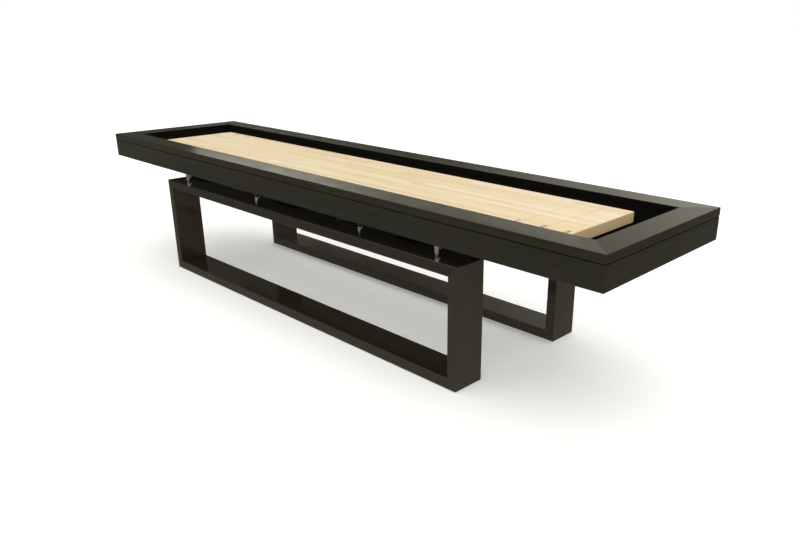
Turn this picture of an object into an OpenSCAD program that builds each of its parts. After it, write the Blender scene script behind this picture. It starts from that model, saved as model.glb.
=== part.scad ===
// Shuffleboard table: a mitred box cabinet with a laminated maple playfield sunk
// between carpeted gutters, carried on two hoop frames by chromed standoffs.
//
// Frame: the origin is on the floor under the middle of the table, +X along its
// length, -Y its front long side and +Z up. Millimetres throughout.

/* [Cabinet] */
// Length of the cabinet over its rails
cabinet_l = 3830; // [3760:10:4300]
// Width of the cabinet over its rails
cabinet_w = 914; // [900:2:960]
// Height of the rail tops above the floor
table_h = 796; // [780:1:830]
// Depth of the cabinet from rail tops to underside
cabinet_h = 145; // [140:1:160]
// Width of the flat top rails
rail_w = 125; // [118:1:130]
// Thickness of the flat top rails
rail_t = 38; // [32:1:40]
// Thickness of the aprons below the rails
apron_t = 25; // [18:1:28]
// Height and depth of the shadow line between the rails and the aprons
reveal = 3; // [2:0.5:5]
// Chamfer that eases the edges of the woodwork
ease = 1.5; // [0.5:0.5:2]

/* [Playfield] */
// Length of the playfield
playfield_l = 3250; // [3200:10:3300]
// Width of the playfield
playfield_w = 504; // [480:2:520]
// Thickness of the playfield
playfield_t = 50; // [46:1:56]
// Depth of the playfield's top below the rail tops
playfield_drop = 33; // [28:1:36]

/* [Hoop frames] */
// Length of a hoop frame
hoop_l = 2460; // [2400:10:2600]
// Depth of a hoop frame from its outer to its inner face
hoop_d = 175; // [165:5:185]
// Thickness of the hoop's bars and uprights
hoop_t = 51; // [50:1:60]
// Height of the standoffs between hoop and cabinet
standoff_h = 68; // [60:1:76]
// Diameter of the standoffs
standoff_d = 30; // [24:1:32]

/* [Levelling feet] */
// Gap under the hoops when the feet are screwed right in
foot_gap = 3; // [2:0.5:4]
// Diameter of a foot's glide pad
pad_d = 50; // [44:1:54]

/* [Hidden] */
$fn = 48;

over = 1;                   // how far a cutter runs past the face it opens
mitre_over = 5;             // how far a mitre's cutter runs past the corner

// Woodwork of the cabinet
gutter_wall_t = 18;
gutter_floor_t = 18;
liner_t = 3;
stringer_w = 38;
beam_w = 38;
beam_count = 4;
playfield_ease = 2.5;
side_overhang = 28;         // playfield past the stringers, each side
end_overhang = 20;          // playfield past the stringers, each end
glue_block = 40;
corner_block_h = 80;
board_ease = 0.5;

// Screws
rail_screw_inset = 45;      // rail screws in from the cabinet's faces
long_side_screws = 6;
long_side_pitch = 640;
short_side_screws = 2;
short_side_pitch = 360;
rail_screw_bite = 22;
field_screw_y = 120;
field_screw_bite = 25;
bracket_screw_bite = 18;
screw_r = 2.5;
screw_head_r = 4.5;
screw_head_h = 3;
screw_point = 4;
screw_tip_r = 0.4;
screw_clear = 0.5;          // shank's clearance, on a radius
head_clear = 1.5;           // counterbore's clearance, on a radius

// Standoffs and their bolts
end_standoff_x = 1066;
end_standoff_in = 56;       // in from the cabinet's face
mid_standoff_x = 453;
mid_standoff_in = 144;      // in from the cabinet's face
bolt_r = 5;
bolt_head_r = 8;
bolt_head_h = 10;
bolt_recess_r = 10;
bolt_recess_h = 20;
bolt_clearance = 0.25;
bolt_short = 1;             // bolt's end below the insert's top
insert_r = 8;
insert_l = 16;

// Tenons in the hoop mitres
tenon_t = 10;
tenon_w = 40;
tenon_l = 44;
tenon_y = 45;               // either side of the hoop's middle

// Levelling feet
foot_x = 1130;
pad_h = 9;
pad_round = 2;
pad_chamfer = 1;
spigot_r = 5;
spigot_l = 6;
collar_across = 17;
collar_h = 6;
stem_r = 6;
stem_l = 29;
foot_insert_r = 9;
foot_insert_l = 25;
foot_insert_gap = 1;        // insert above the collar
stem_hole_clear = 0.5;
stem_hole_over = 2;         // hole past the stem's end
run_clear = 0.05;           // running clearance on a radius
recess_clear = 1.5;
collar_recess_r = 11.5;

// Climatic adjusters under the playfield
adjuster_drop = 30;         // rod axis below the playfield's underside
bracket_y = 130;
bracket_leg = 50;
bracket_l = 60;
bracket_t = 5;
bracket_foot = 45;
bracket_screw_x = 20;
bracket_screw_in = 30;      // screw beyond the upright leg
rod_r = 6;
rod_start = 15;
rod_end = 150;
nut_across = 19;
nut_h = 10;
turnbuckle_across = 24;
turnbuckle_l = 120;
tommy_r = 4;

// Heights
cab_bottom = table_h - cabinet_h;
rail_bottom = table_h - rail_t;
gutter_z = cab_bottom + gutter_floor_t;
field_top = table_h - playfield_drop;
field_bottom = field_top - playfield_t;
hoop_top = cab_bottom - standoff_h;
adjuster_z = field_bottom - adjuster_drop;

// Plan sizes
inner_l = cabinet_l - 2 * apron_t;
inner_w = cabinet_w - 2 * apron_t;
well_l = cabinet_l - 2 * rail_w;
well_w = cabinet_w - 2 * rail_w;
stringer_out = playfield_w / 2 - side_overhang;
stringer_in = stringer_out - stringer_w;
support_l = playfield_l - 2 * end_overhang;
hoop_y = cabinet_w / 2 - hoop_d / 2;

// Heights in a levelling foot
collar_z = pad_h;
stem_z = collar_z + collar_h;
foot_insert_z = stem_z + foot_insert_gap;
stem_hole_top = stem_z + stem_l + stem_hole_over;

beam_step = (support_l - beam_w) / (beam_count - 1);
BEAM_X = [for (i = [0 : beam_count - 1]) -(support_l - beam_w) / 2 + i * beam_step];
ADJUSTER_X = [for (i = [0 : beam_count - 2]) (BEAM_X[i] + BEAM_X[i + 1]) / 2];
FIELD_SCREWS = [for (x = BEAM_X, side = [-1, 1]) [x, side * field_screw_y]];
BRACKET_SCREWS = [
    for (x = ADJUSTER_X, dx = [-1, 1], side = [-1, 1])
        [x + dx * bracket_screw_x, side * (bracket_y + bracket_screw_in)]
];

// Standoff places on the front hoop, from left to right
STANDOFFS = [
    [-end_standoff_x, end_standoff_in - cabinet_w / 2],
    [-mid_standoff_x, mid_standoff_in - cabinet_w / 2],
    [mid_standoff_x, mid_standoff_in - cabinet_w / 2],
    [end_standoff_x, end_standoff_in - cabinet_w / 2],
];

// Each side with the turn that brings a front piece to it
SIDES = [["front", 0], ["right", 90], ["back", 180], ["left", 270]];
HOOPS = [["front", 0], ["back", 180]];
// Each corner's name with its signs along X and Y
CORNERS = [["front_left", -1, -1], ["front_right", 1, -1], ["back_left", -1, 1], ["back_right", 1, 1]];

// ---- Shared shapes ----

// A rectangle from the origin to [w, h] with its corners cut off by c
module eased_rect(w, h, c) {
    polygon([
        [c, 0], [w - c, 0], [w, c], [w, h - c],
        [w - c, h], [c, h], [0, h - c], [0, c],
    ]);
}

// A bar along X, centred on it, w wide from y = 0 and h high from z = 0
module bar_x(l, w, h, c) {
    rotate([90, 0, 90]) linear_extrude(l, center = true) eased_rect(w, h, c);
}

// The same bar along Y
module bar_y(l, w, h, c) {
    translate([w, 0, 0]) rotate([0, 0, 90]) bar_x(l, w, h, c);
}

// A block from the origin to size with all twelve edges eased
module eased_block(size, c) {
    intersection() {
        linear_extrude(size.z) eased_rect(size.x, size.y, c);
        translate([size.x / 2, 0, 0]) bar_x(size.x, size.y, size.z, c);
        translate([0, size.y / 2, 0]) bar_y(size.y, size.x, size.z, c);
    }
}

// A block between two corners, given as lowest and highest points
module block(low, high, c = board_ease) {
    translate(low) eased_block(high - low, c);
}

// A polygon drawn in X and Z, standing from y0 to y1
module upright_prism(points, y0, y1) {
    translate([0, y1, 0]) rotate([90, 0, 0]) linear_extrude(y1 - y0) polygon(points);
}

// The board on the -Y side of a mitred frame that measures l by w outside
module mitred_board(l, w, b, t, c) {
    p = mitre_over;
    intersection() {
        translate([0, -w / 2, 0]) bar_x(l, b, t, c);
        translate([0, 0, -over]) linear_extrude(t + 2 * over) polygon([
            [-l / 2 - p, -w / 2 - p],
            [l / 2 + p, -w / 2 - p],
            [l / 2 - b - p, -w / 2 + b + p],
            [-l / 2 + b + p, -w / 2 + b + p],
        ]);
    }
}

// The places of n things along X, a pitch apart
function row(n, pitch) = [for (i = [0 : n - 1]) (i - (n - 1) / 2) * pitch];

function is_long(side) = side[1] % 180 == 0;
function side_l(side) = is_long(side) ? cabinet_l : cabinet_w;
function side_w(side) = is_long(side) ? cabinet_w : cabinet_l;
function side_screws(side) =
    is_long(side) ? row(long_side_screws, long_side_pitch) : row(short_side_screws, short_side_pitch);

// A plain round hole or pin standing on z0
module pin(r, z0, z1) {
    translate([0, 0, z0]) cylinder(r = r, h = z1 - z0);
}

// Wood screw pointing up, its head's underside on z = 0
module wood_screw(l) {
    translate([0, 0, -screw_head_h]) cylinder(r = screw_head_r, h = screw_head_h);
    pin(screw_r, 0, l - screw_point);
    translate([0, 0, l - screw_point]) cylinder(r1 = screw_r, r2 = screw_tip_r, h = screw_point);
}

module hex_bar(across, h) {
    cylinder(d = across / cos(30), h = h, $fn = 6);
}

// ---- Cabinet ----

// Flat top rail, mitred at both ends
module top_rail(side) {
    w = side_w(side);
    color("#33302b") rotate([0, 0, side[1]]) difference() {
        translate([0, 0, rail_bottom]) mitred_board(side_l(side), w, rail_w, rail_t, ease);
        for (x = side_screws(side)) {
            translate([x, rail_screw_inset - w / 2, 0])
                pin(screw_r, rail_bottom - over, rail_bottom + rail_screw_bite);
        }
    }
}

// Apron under a rail, mitred at both ends and rebated along its top for the shadow line
module apron(side) {
    l = side_l(side);
    face = -side_w(side) / 2;
    color("#2e2b27") rotate([0, 0, side[1]]) difference() {
        translate([0, 0, cab_bottom]) mitred_board(l, side_w(side), apron_t, rail_bottom - cab_bottom, ease);
        translate([-l / 2 - over, face - over, rail_bottom - reveal])
            cube([l + 2 * over, reveal + over, reveal + over]);
    }
}

// Inner wall of a gutter, hidden under the rail's edge
module gutter_wall(side) {
    half_w = well_w / 2 + liner_t;
    half_l = well_l / 2 + liner_t;
    out = is_long(side) ? half_w : half_l;
    reach = is_long(side) ? half_l : half_w + gutter_wall_t;
    color("#1f1d1a") rotate([0, 0, side[1]])
        block([-reach, -out - gutter_wall_t, gutter_z], [reach, -out, rail_bottom]);
}

// Floor of a gutter, which is also the cabinet's bottom and takes the standoffs
module gutter_floor(side) {
    color("#26231f") rotate([0, 0, side[1]]) {
        if (is_long(side)) {
            difference() {
                block([-support_l / 2, -inner_w / 2, cab_bottom], [support_l / 2, -stringer_out, gutter_z]);
                for (p = STANDOFFS) {
                    translate([p.x, p.y, 0]) pin(insert_r, cab_bottom - over, cab_bottom + insert_l);
                }
            }
        } else {
            block([-inner_w / 2, -inner_l / 2, cab_bottom], [inner_w / 2, -support_l / 2, gutter_z]);
        }
    }
}

// Carpet on a gutter's floor and up its wall
module gutter_liner(side) {
    top = gutter_z + liner_t;
    out = (is_long(side) ? well_w : well_l) / 2;
    start = is_long(side) ? stringer_out : support_l / 2;
    floor_reach = is_long(side) ? support_l / 2 : well_w / 2 + liner_t;
    wall_reach = is_long(side) ? well_l / 2 + liner_t : well_w / 2;
    color("#171614") rotate([0, 0, side[1]]) union() {
        translate([-floor_reach, -out - liner_t, gutter_z])
            cube([2 * floor_reach, out + liner_t - start, liner_t]);
        translate([-min(floor_reach, wall_reach), -out - liner_t, gutter_z])
            cube([2 * min(floor_reach, wall_reach), liner_t, rail_bottom - gutter_z]);
        translate([-wall_reach, -out - liner_t, top])
            cube([2 * wall_reach, liner_t, rail_bottom - top]);
    }
}

// Long bearer under a long edge of the playfield
module stringer(hoop) {
    color("#211c16") rotate([0, 0, hoop[1]])
        block([-support_l / 2, -stringer_out, cab_bottom], [support_l / 2, -stringer_in, field_bottom]);
}

// Beam across the cabinet under the playfield, drilled and counterbored for two screws
module cross_beam(x) {
    recess_top = (cab_bottom + field_bottom) / 2;
    color("#211c16") translate([x, 0, 0]) difference() {
        block([-beam_w / 2, -stringer_in, cab_bottom], [beam_w / 2, stringer_in, field_bottom]);
        for (side = [-1, 1]) {
            translate([0, side * field_screw_y, 0]) {
                pin(screw_r + screw_clear, recess_top - over, field_bottom + over);
                pin(screw_head_r + head_clear, cab_bottom - over, recess_top);
            }
        }
    }
}

// Laminated maple playfield, drilled underneath for its screws
module playfield() {
    half = [playfield_l / 2, playfield_w / 2];
    color("#e3cfa6") difference() {
        block([-half.x, -half.y, field_bottom], [half.x, half.y, field_top], playfield_ease);
        for (p = FIELD_SCREWS) {
            translate([p.x, p.y, 0]) pin(screw_r, field_bottom - over, field_bottom + field_screw_bite);
        }
        for (p = BRACKET_SCREWS) {
            translate([p.x, p.y, 0]) pin(screw_r, field_bottom - over, field_bottom + bracket_screw_bite);
        }
    }
}

// Glue blocks behind the aprons, each drilled for a rail screw, and taller ones in the corners
module glue_blocks() {
    half = glue_block / 2;
    low = rail_bottom - glue_block;
    color("#211c16") {
        for (side = SIDES) {
            rotate([0, 0, side[1]]) for (x = side_screws(side)) {
                translate([x, rail_screw_inset - side_w(side) / 2, 0]) difference() {
                    block([-half, -half, low], [half, half, rail_bottom]);
                    pin(screw_r + screw_clear, low - over, rail_bottom + over);
                    pin(screw_head_r + head_clear, low - over, rail_bottom - half);
                }
            }
        }
        for (corner = CORNERS) {
            translate([corner[1] * (inner_l / 2 - half), corner[2] * (inner_w / 2 - half), 0])
                block([-half, -half, rail_bottom - corner_block_h], [half, half, rail_bottom]);
        }
    }
}

// Screws that hold the rails, up through the glue blocks
module rail_screws() {
    below = glue_block / 2;
    color("#8f8f8c") for (side = SIDES) {
        rotate([0, 0, side[1]]) for (x = side_screws(side)) {
            translate([x, rail_screw_inset - side_w(side) / 2, rail_bottom - below])
                wood_screw(below + rail_screw_bite);
        }
    }
}

// Screws that hold the playfield, up through the cross beams
module playfield_screws() {
    below = (field_bottom - cab_bottom) / 2;
    color("#8f8f8c") for (p = FIELD_SCREWS) {
        translate([p.x, p.y, field_bottom - below]) wood_screw(below + field_screw_bite);
    }
}

// ---- Climatic adjusters ----

// Steel angle screwed under the playfield on the +Y side of an adjuster
module adjuster_bracket() {
    in = bracket_y - bracket_t / 2;
    difference() {
        union() {
            translate([-bracket_l / 2, in, field_bottom - bracket_leg])
                cube([bracket_l, bracket_t, bracket_leg]);
            translate([-bracket_l / 2, in, field_bottom - bracket_t])
                cube([bracket_l, bracket_foot, bracket_t]);
        }
        translate([0, in - over, adjuster_z]) rotate([-90, 0, 0])
            cylinder(r = rod_r + bolt_clearance, h = bracket_t + 2 * over);
        for (dx = [-1, 1]) {
            translate([dx * bracket_screw_x, bracket_y + bracket_screw_in, 0])
                pin(screw_r + bolt_clearance, field_bottom - bracket_t - over, field_bottom + over);
        }
    }
}

// Pairs of brackets, one pair at each adjuster
module adjuster_brackets() {
    color("#5c5f62") for (x = ADJUSTER_X, turn = [0, 180]) {
        translate([x, 0, 0]) rotate([0, 0, turn]) adjuster_bracket();
    }
}

// Threaded rods from the turnbuckles out through the brackets
module adjuster_rods() {
    color("#a9aaa8") for (x = ADJUSTER_X, turn = [0, 180]) {
        translate([x, 0, adjuster_z]) rotate([0, 0, turn]) translate([0, rod_start, 0])
            rotate([-90, 0, 0]) cylinder(r = rod_r, h = rod_end - rod_start);
    }
}

// Nuts that clamp each rod to both faces of its bracket
module adjuster_nuts() {
    color("#9a9b98") for (x = ADJUSTER_X, turn = [0, 180], face = [-1, 1]) {
        translate([x, 0, adjuster_z]) rotate([0, 0, turn])
            translate([0, bracket_y + face * (bracket_t + nut_h) / 2 - nut_h / 2, 0])
            rotate([-90, 0, 0]) difference() {
                hex_bar(nut_across, nut_h);
                pin(rod_r, -over, nut_h + over);
            }
    }
}

// Screws through the feet of the brackets
module bracket_screws() {
    color("#8f8f8c") for (p = BRACKET_SCREWS) {
        translate([p.x, p.y, field_bottom - bracket_t]) wood_screw(bracket_t + bracket_screw_bite);
    }
}

// Hexagonal turnbuckle with a cross hole for a tommy bar
module adjuster_turnbuckle(x) {
    half = turnbuckle_l / 2;
    color("#b3a06a") translate([x, 0, adjuster_z]) difference() {
        rotate([-90, 0, 0]) translate([0, 0, -half]) hex_bar(turnbuckle_across, turnbuckle_l);
        rotate([-90, 0, 0]) pin(rod_r + run_clear, -half - over, half + over);
        pin(tommy_r, -turnbuckle_across, turnbuckle_across);
    }
}

// ---- Standoffs ----

// Chromed tubes between one hoop and the cabinet
module standoffs(hoop) {
    chamfer = 1;
    r = standoff_d / 2;
    bore = bolt_r + bolt_clearance;
    color("#d5d6d4") rotate([0, 0, hoop[1]]) for (p = STANDOFFS) {
        translate([p.x, p.y, hoop_top]) rotate_extrude() polygon([
            [bore, 0], [r - chamfer, 0], [r, chamfer], [r, standoff_h - chamfer],
            [r - chamfer, standoff_h], [bore, standoff_h],
        ]);
    }
}

// Socket-head bolts from under the hoops' top bars, up through the standoffs
module standoff_bolts() {
    head_z = hoop_top - hoop_t + bolt_recess_h;
    color("#6d6f70") for (hoop = HOOPS, p = STANDOFFS) {
        rotate([0, 0, hoop[1]]) translate([p.x, p.y, head_z]) difference() {
            union() {
                translate([0, 0, -bolt_head_h]) cylinder(r = bolt_head_r, h = bolt_head_h);
                pin(bolt_r, 0, cab_bottom + insert_l - bolt_short - head_z);
            }
            translate([0, 0, -bolt_head_h - over]) hex_bar(bolt_head_r, bolt_head_h / 2 + over);
        }
    }
}

// Threaded inserts in the gutter floors, one for each standoff bolt
module standoff_inserts() {
    color("#a5905a") for (hoop = HOOPS, p = STANDOFFS) {
        rotate([0, 0, hoop[1]]) translate([p.x, p.y, cab_bottom]) difference() {
            pin(insert_r, 0, insert_l);
            pin(bolt_r, -over, insert_l + over);
        }
    }
}

// ---- Hoop frames ----

// Loose tenons of one hoop, or the mortises for them
module tenons() {
    mid_x = (hoop_l - hoop_t) / 2;
    mid_z = (hoop_top + foot_gap) / 2;
    reach_z = (hoop_top - foot_gap - hoop_t) / 2;
    for (sx = [-1, 1], sz = [-1, 1], sy = [-1, 1]) {
        translate([sx * mid_x, sy * tenon_y - hoop_y, mid_z + sz * reach_z])
            rotate([0, sx * sz * 45, 0]) cube([tenon_l, tenon_w, tenon_t], center = true);
    }
}

// Top or bottom bar of the front hoop, mitred at both ends: edge is 1 or -1
module hoop_bar(edge) {
    p = mitre_over;
    z_out = edge > 0 ? hoop_top : foot_gap;
    z_low = edge > 0 ? hoop_top - hoop_t : foot_gap;
    intersection() {
        translate([0, -cabinet_w / 2, z_low]) bar_x(hoop_l, hoop_d, hoop_t, ease);
        upright_prism([
            [-hoop_l / 2 - p, z_out + edge * p],
            [hoop_l / 2 + p, z_out + edge * p],
            [hoop_l / 2 - hoop_t - p, z_out - edge * (hoop_t + p)],
            [-hoop_l / 2 + hoop_t + p, z_out - edge * (hoop_t + p)],
        ], -cabinet_w / 2 - over, -cabinet_w / 2 + hoop_d + over);
    }
}

// Top bar, bored and recessed for the standoff bolts
module hoop_top_bar(hoop) {
    low = hoop_top - hoop_t;
    color("#2c2924") rotate([0, 0, hoop[1]]) difference() {
        hoop_bar(1);
        tenons();
        for (p = STANDOFFS) {
            translate([p.x, p.y, 0]) {
                pin(bolt_r + bolt_clearance, low + bolt_recess_h - over, hoop_top + over);
                pin(bolt_recess_r, low - over, low + bolt_recess_h);
            }
        }
    }
}

// Bottom bar, bored from below for the two levelling feet
module hoop_bottom_bar(hoop) {
    color("#2c2924") rotate([0, 0, hoop[1]]) difference() {
        hoop_bar(-1);
        tenons();
        for (x = [-foot_x, foot_x]) {
            translate([x, -hoop_y, 0]) {
                pin(pad_d / 2 + recess_clear, foot_gap - over, pad_h);
                pin(collar_recess_r, pad_h - over, foot_insert_z);
                pin(foot_insert_r, foot_insert_z - over, foot_insert_z + foot_insert_l);
                pin(stem_r + stem_hole_clear, foot_insert_z, stem_hole_top);
            }
        }
    }
}

// Upright at the left (-1) or right (1) end of a hoop, mitred top and bottom
module hoop_upright(hoop, end) {
    p = mitre_over;
    x_out = end * hoop_l / 2;
    x_low = end > 0 ? hoop_l / 2 - hoop_t : -hoop_l / 2;
    // The back hoop is the front one turned half round, so its ends change places
    color("#2c2924") rotate([0, 0, hoop[1]]) difference() {
        intersection() {
            translate([x_low, -cabinet_w / 2, foot_gap])
                linear_extrude(hoop_top - foot_gap) eased_rect(hoop_t, hoop_d, ease);
            upright_prism([
                [x_out + end * p, foot_gap - p],
                [x_out + end * p, hoop_top + p],
                [x_out - end * (hoop_t + p), hoop_top - hoop_t - p],
                [x_out - end * (hoop_t + p), foot_gap + hoop_t + p],
            ], -cabinet_w / 2 - over, -cabinet_w / 2 + hoop_d + over);
        }
        tenons();
    }
}

module left_upright(hoop) {
    hoop_upright(hoop, hoop[1] == 0 ? -1 : 1);
}

module right_upright(hoop) {
    hoop_upright(hoop, hoop[1] == 0 ? 1 : -1);
}

// Loose tenons that lock the eight mitres
module hoop_tenons() {
    color("#b39768") for (hoop = HOOPS) {
        rotate([0, 0, hoop[1]]) tenons();
    }
}

// ---- Levelling feet ----

module at_foot(corner) {
    translate([corner[1] * foot_x, corner[2] * hoop_y, 0]) children();
}

// Glide pad with a socket for the stem's spigot
module leveller_pad(corner) {
    r = pad_d / 2;
    color("#3a3a3a") at_foot(corner) difference() {
        rotate_extrude() polygon(concat(
            [[0, 0]],
            [for (a = [0 : 15 : 90]) [r - pad_round + pad_round * sin(a), pad_round - pad_round * cos(a)]],
            [[r, pad_h - pad_chamfer], [r - pad_chamfer, pad_h], [0, pad_h]]
        ));
        pin(spigot_r + run_clear, pad_h - spigot_l, pad_h + over);
    }
}

// Threaded stem with its hexagonal collar and the spigot that turns in the pad
module leveller_stem(corner) {
    color("#9fa0a0") at_foot(corner) union() {
        pin(spigot_r, pad_h - spigot_l, collar_z);
        translate([0, 0, collar_z]) hex_bar(collar_across, collar_h);
        pin(stem_r, stem_z, stem_z + stem_l);
    }
}

// Threaded inserts in the bottom bars, one for each stem
module leveller_inserts() {
    color("#a5905a") for (corner = CORNERS) {
        at_foot(corner) translate([0, 0, foot_insert_z]) difference() {
            pin(foot_insert_r, 0, foot_insert_l);
            pin(stem_r + run_clear, -over, foot_insert_l + over);
        }
    }
}

for (s = SIDES) {
    top_rail(s);
    apron(s);
    gutter_wall(s);
    gutter_floor(s);
    gutter_liner(s);
}
for (i = [1 : beam_count]) {
    cross_beam(BEAM_X[i - 1]);
}
for (i = [1 : beam_count - 1]) {
    adjuster_turnbuckle(ADJUSTER_X[i - 1]);
}
playfield();
glue_blocks();
rail_screws();
playfield_screws();
adjuster_brackets();
adjuster_rods();
adjuster_nuts();
bracket_screws();
standoff_bolts();
standoff_inserts();
hoop_tenons();
leveller_inserts();
for (h = HOOPS) {
    stringer(h);
    standoffs(h);
    hoop_top_bar(h);
    hoop_bottom_bar(h);
    left_upright(h);
    right_upright(h);
}
for (c = CORNERS) {
    leveller_pad(c);
    leveller_stem(c);
}
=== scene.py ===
"""A shuffleboard table on two open hoop legs, dressed for its picture.

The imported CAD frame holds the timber, the metalwork and the levelling feet, and is left as it is.
This script gives each of its nodes a finish, lays the carpet in the gutters, cuts the threads and
the screw heads that show from below, turns the chromed standoffs, and inks the zone numerals.
"""

import logging
import math
from dataclasses import dataclass
from enum import Enum
from typing import Any, Iterable

import bmesh
import bpy
import numpy as np
from mathutils import Matrix, Quaternion, Vector


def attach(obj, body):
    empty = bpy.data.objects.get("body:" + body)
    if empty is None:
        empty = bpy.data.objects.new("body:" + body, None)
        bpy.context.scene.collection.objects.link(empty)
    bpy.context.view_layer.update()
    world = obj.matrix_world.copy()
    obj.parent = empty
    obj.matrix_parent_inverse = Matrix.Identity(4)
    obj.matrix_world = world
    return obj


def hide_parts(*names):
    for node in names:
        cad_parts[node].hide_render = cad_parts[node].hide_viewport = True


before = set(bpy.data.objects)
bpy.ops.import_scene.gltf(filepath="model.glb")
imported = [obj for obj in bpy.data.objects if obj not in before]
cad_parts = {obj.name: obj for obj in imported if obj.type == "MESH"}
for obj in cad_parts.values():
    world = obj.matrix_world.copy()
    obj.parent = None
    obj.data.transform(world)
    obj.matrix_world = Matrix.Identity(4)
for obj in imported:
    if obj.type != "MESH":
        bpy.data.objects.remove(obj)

log = logging.getLogger("table")
MM = 0.001

Tree = bpy.types.NodeTree
Socket = bpy.types.NodeSocket
Piece = bpy.types.Object
Shell = tuple[np.ndarray, np.ndarray]  # a mesh's points, and its faces as rows of point numbers
Place = tuple[float, float, float]


# ---- Nodes and colours ----


def linear(colour: str) -> tuple[float, float, float, float]:
    """Turns an sRGB colour into the linear one that a socket takes.

    Low values are divided by 12.92, and the rest follow the 2.4 power of the sRGB curve.

    Args:
        colour: the colour as "#rrggbb".

    Returns:
        Red, green, blue and an alpha of 1, linear.
    """
    srgb = np.array([int(colour[i : i + 2], 16) for i in (1, 3, 5)]) / 255
    curve = np.where(srgb <= 0.04045, srgb / 12.92, ((srgb + 0.055) / 1.055) ** 2.4)
    return (*(float(c) for c in curve), 1.0)


def add(tree: Tree, kind: str, inputs: dict | None = None, out: int | str = 0,
        **settings: Any) -> Socket | None:
    """Adds one node with its settings, values and links.

    Args:
        tree: the node tree it goes in.
        kind: the node's type, such as "ShaderNodeMath".
        inputs: what each input takes, by index or name: a socket to link, or a plain value.
        out: the output wanted, by index or name.
        settings: the node's own properties.

    Returns:
        That output's socket, or None for a node that has no outputs.
    """
    node = tree.nodes.new(kind)
    for name, value in settings.items():
        setattr(node, name, value)
    for key, value in (inputs or {}).items():
        if isinstance(value, bpy.types.NodeSocket):
            tree.links.new(value, node.inputs[key])
        else:
            node.inputs[key].default_value = value
    return node.outputs[out] if node.outputs else None


def emptied(owner: bpy.types.ID) -> Tree:
    """Turns on the nodes of a material, world or light, and clears them.

    Args:
        owner: the material, world or light.

    Returns:
        Its tree, with no node in it.
    """
    owner.use_nodes = True
    owner.node_tree.nodes.clear()
    return owner.node_tree


# ---- Finishes ----


class Grain(Enum):
    """The way that a member's grain runs."""

    ALONG = 0
    ACROSS = 1
    UPRIGHT = 2

    def stretch(self, length: float, width: float) -> tuple[float, float, float]:
        """Pattern scale per metre for figure that is length mm long and width mm wide."""
        return tuple(1000 / (length if axis == self.value else width) for axis in range(3))


@dataclass(frozen=True)
class Finish:
    """A finish that pieces share. Its material is made once, under the finish's name."""

    name: str

    def material(self) -> bpy.types.Material:
        """Makes the material, or finds the one already made.

        Returns:
            The material, with its surface linked.
        """
        found = bpy.data.materials.get(self.name)
        if found:
            return found
        made = bpy.data.materials.new(self.name)
        tree = emptied(made)
        add(tree, "ShaderNodeOutputMaterial", {"Surface": self.surface(tree)})
        return made

    def surface(self, tree: Tree) -> Socket:
        """Builds the finish. Each kind of finish has its own.

        Args:
            tree: the material's tree.

        Returns:
            The finish's shader.
        """
        raise NotImplementedError


@dataclass(frozen=True)
class StainedTimber(Finish):
    """Hardwood stained espresso, then sprayed with clear lacquer.

    The eye gets a near-black brown with faint lengthwise streaks, short open pores that the film
    only half fills, and a soft gloss that sharpens towards a low view.
    """

    grain: Grain
    dark: str
    light: str
    gloss: tuple[float, float]
    level: float = 0.3
    seed: float = 0.0

    def surface(self, tree: Tree) -> Socket:
        """Streaks mix the two tones, and pores darken and roughen them.

        Args:
            tree: the material's tree.

        Returns:
            The lacquered wood's shader.
        """
        place = add(tree, "ShaderNodeTexCoord", out="Object")
        broad = add(tree, "ShaderNodeMapping", {"Vector": place, "Scale": self.grain.stretch(700, 26)})
        fine = add(tree, "ShaderNodeMapping", {"Vector": place, "Scale": self.grain.stretch(160, 3.2)})
        # Pores are about 0.2 mm wide on the real timber, drawn near 1 mm so that they show.
        open_pores = add(tree, "ShaderNodeMapping", {"Vector": place, "Scale": self.grain.stretch(14, 1.0)})
        figure = add(tree, "ShaderNodeTexNoise", {"Vector": broad, "Scale": 1.0, "Detail": 4.0,
                     "Roughness": 0.55, "Distortion": 0.6, "W": self.seed}, noise_dimensions="4D")
        streak = add(tree, "ShaderNodeTexNoise", {"Vector": fine, "Scale": 1.0, "Detail": 3.0,
                     "Roughness": 0.6, "Distortion": 0.2, "W": self.seed}, noise_dimensions="4D")
        pore = add(tree, "ShaderNodeTexNoise", {"Vector": open_pores, "Scale": 1.0, "Detail": 1.0,
                   "Roughness": 0.4})
        pore = add(tree, "ShaderNodeMapRange", {0: pore, 1: 0.60, 2: 0.72})
        both = add(tree, "ShaderNodeMix", {0: 0.3, 2: figure, 3: streak})
        tone = add(tree, "ShaderNodeMapRange", {0: both, 1: 0.34, 2: 0.66})
        wood = add(tree, "ShaderNodeMix", {0: tone, 6: linear(self.dark), 7: linear(self.light)},
                   data_type="RGBA", out=2)
        shade = add(tree, "ShaderNodeMath", {0: pore, 1: 0.55}, operation="MULTIPLY")
        wood = add(tree, "ShaderNodeMix", {0: shade, 6: wood, 7: linear("#0c0a08")}, data_type="RGBA", out=2)
        haze = add(tree, "ShaderNodeTexNoise", {"Vector": place, "Scale": 9.0, "Detail": 3.0,
                   "Roughness": 0.6})
        rough = add(tree, "ShaderNodeMapRange", {0: haze, 1: 0.3, 2: 0.7, 3: self.gloss[0], 4: self.gloss[1]})
        rough = add(tree, "ShaderNodeMath", {0: pore, 1: 0.04, 2: rough}, operation="MULTIPLY_ADD")
        relief = add(tree, "ShaderNodeMath", {0: pore, 1: -0.5, 2: streak}, operation="MULTIPLY_ADD")
        bump = add(tree, "ShaderNodeBump", {"Height": relief, "Strength": 0.06, "Distance": 0.12 * MM})
        return add(tree, "ShaderNodeBsdfPrincipled", {"Base Color": wood, "Roughness": rough, "Normal": bump,
                   "IOR": 1.5, "Specular IOR Level": self.level})


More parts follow.
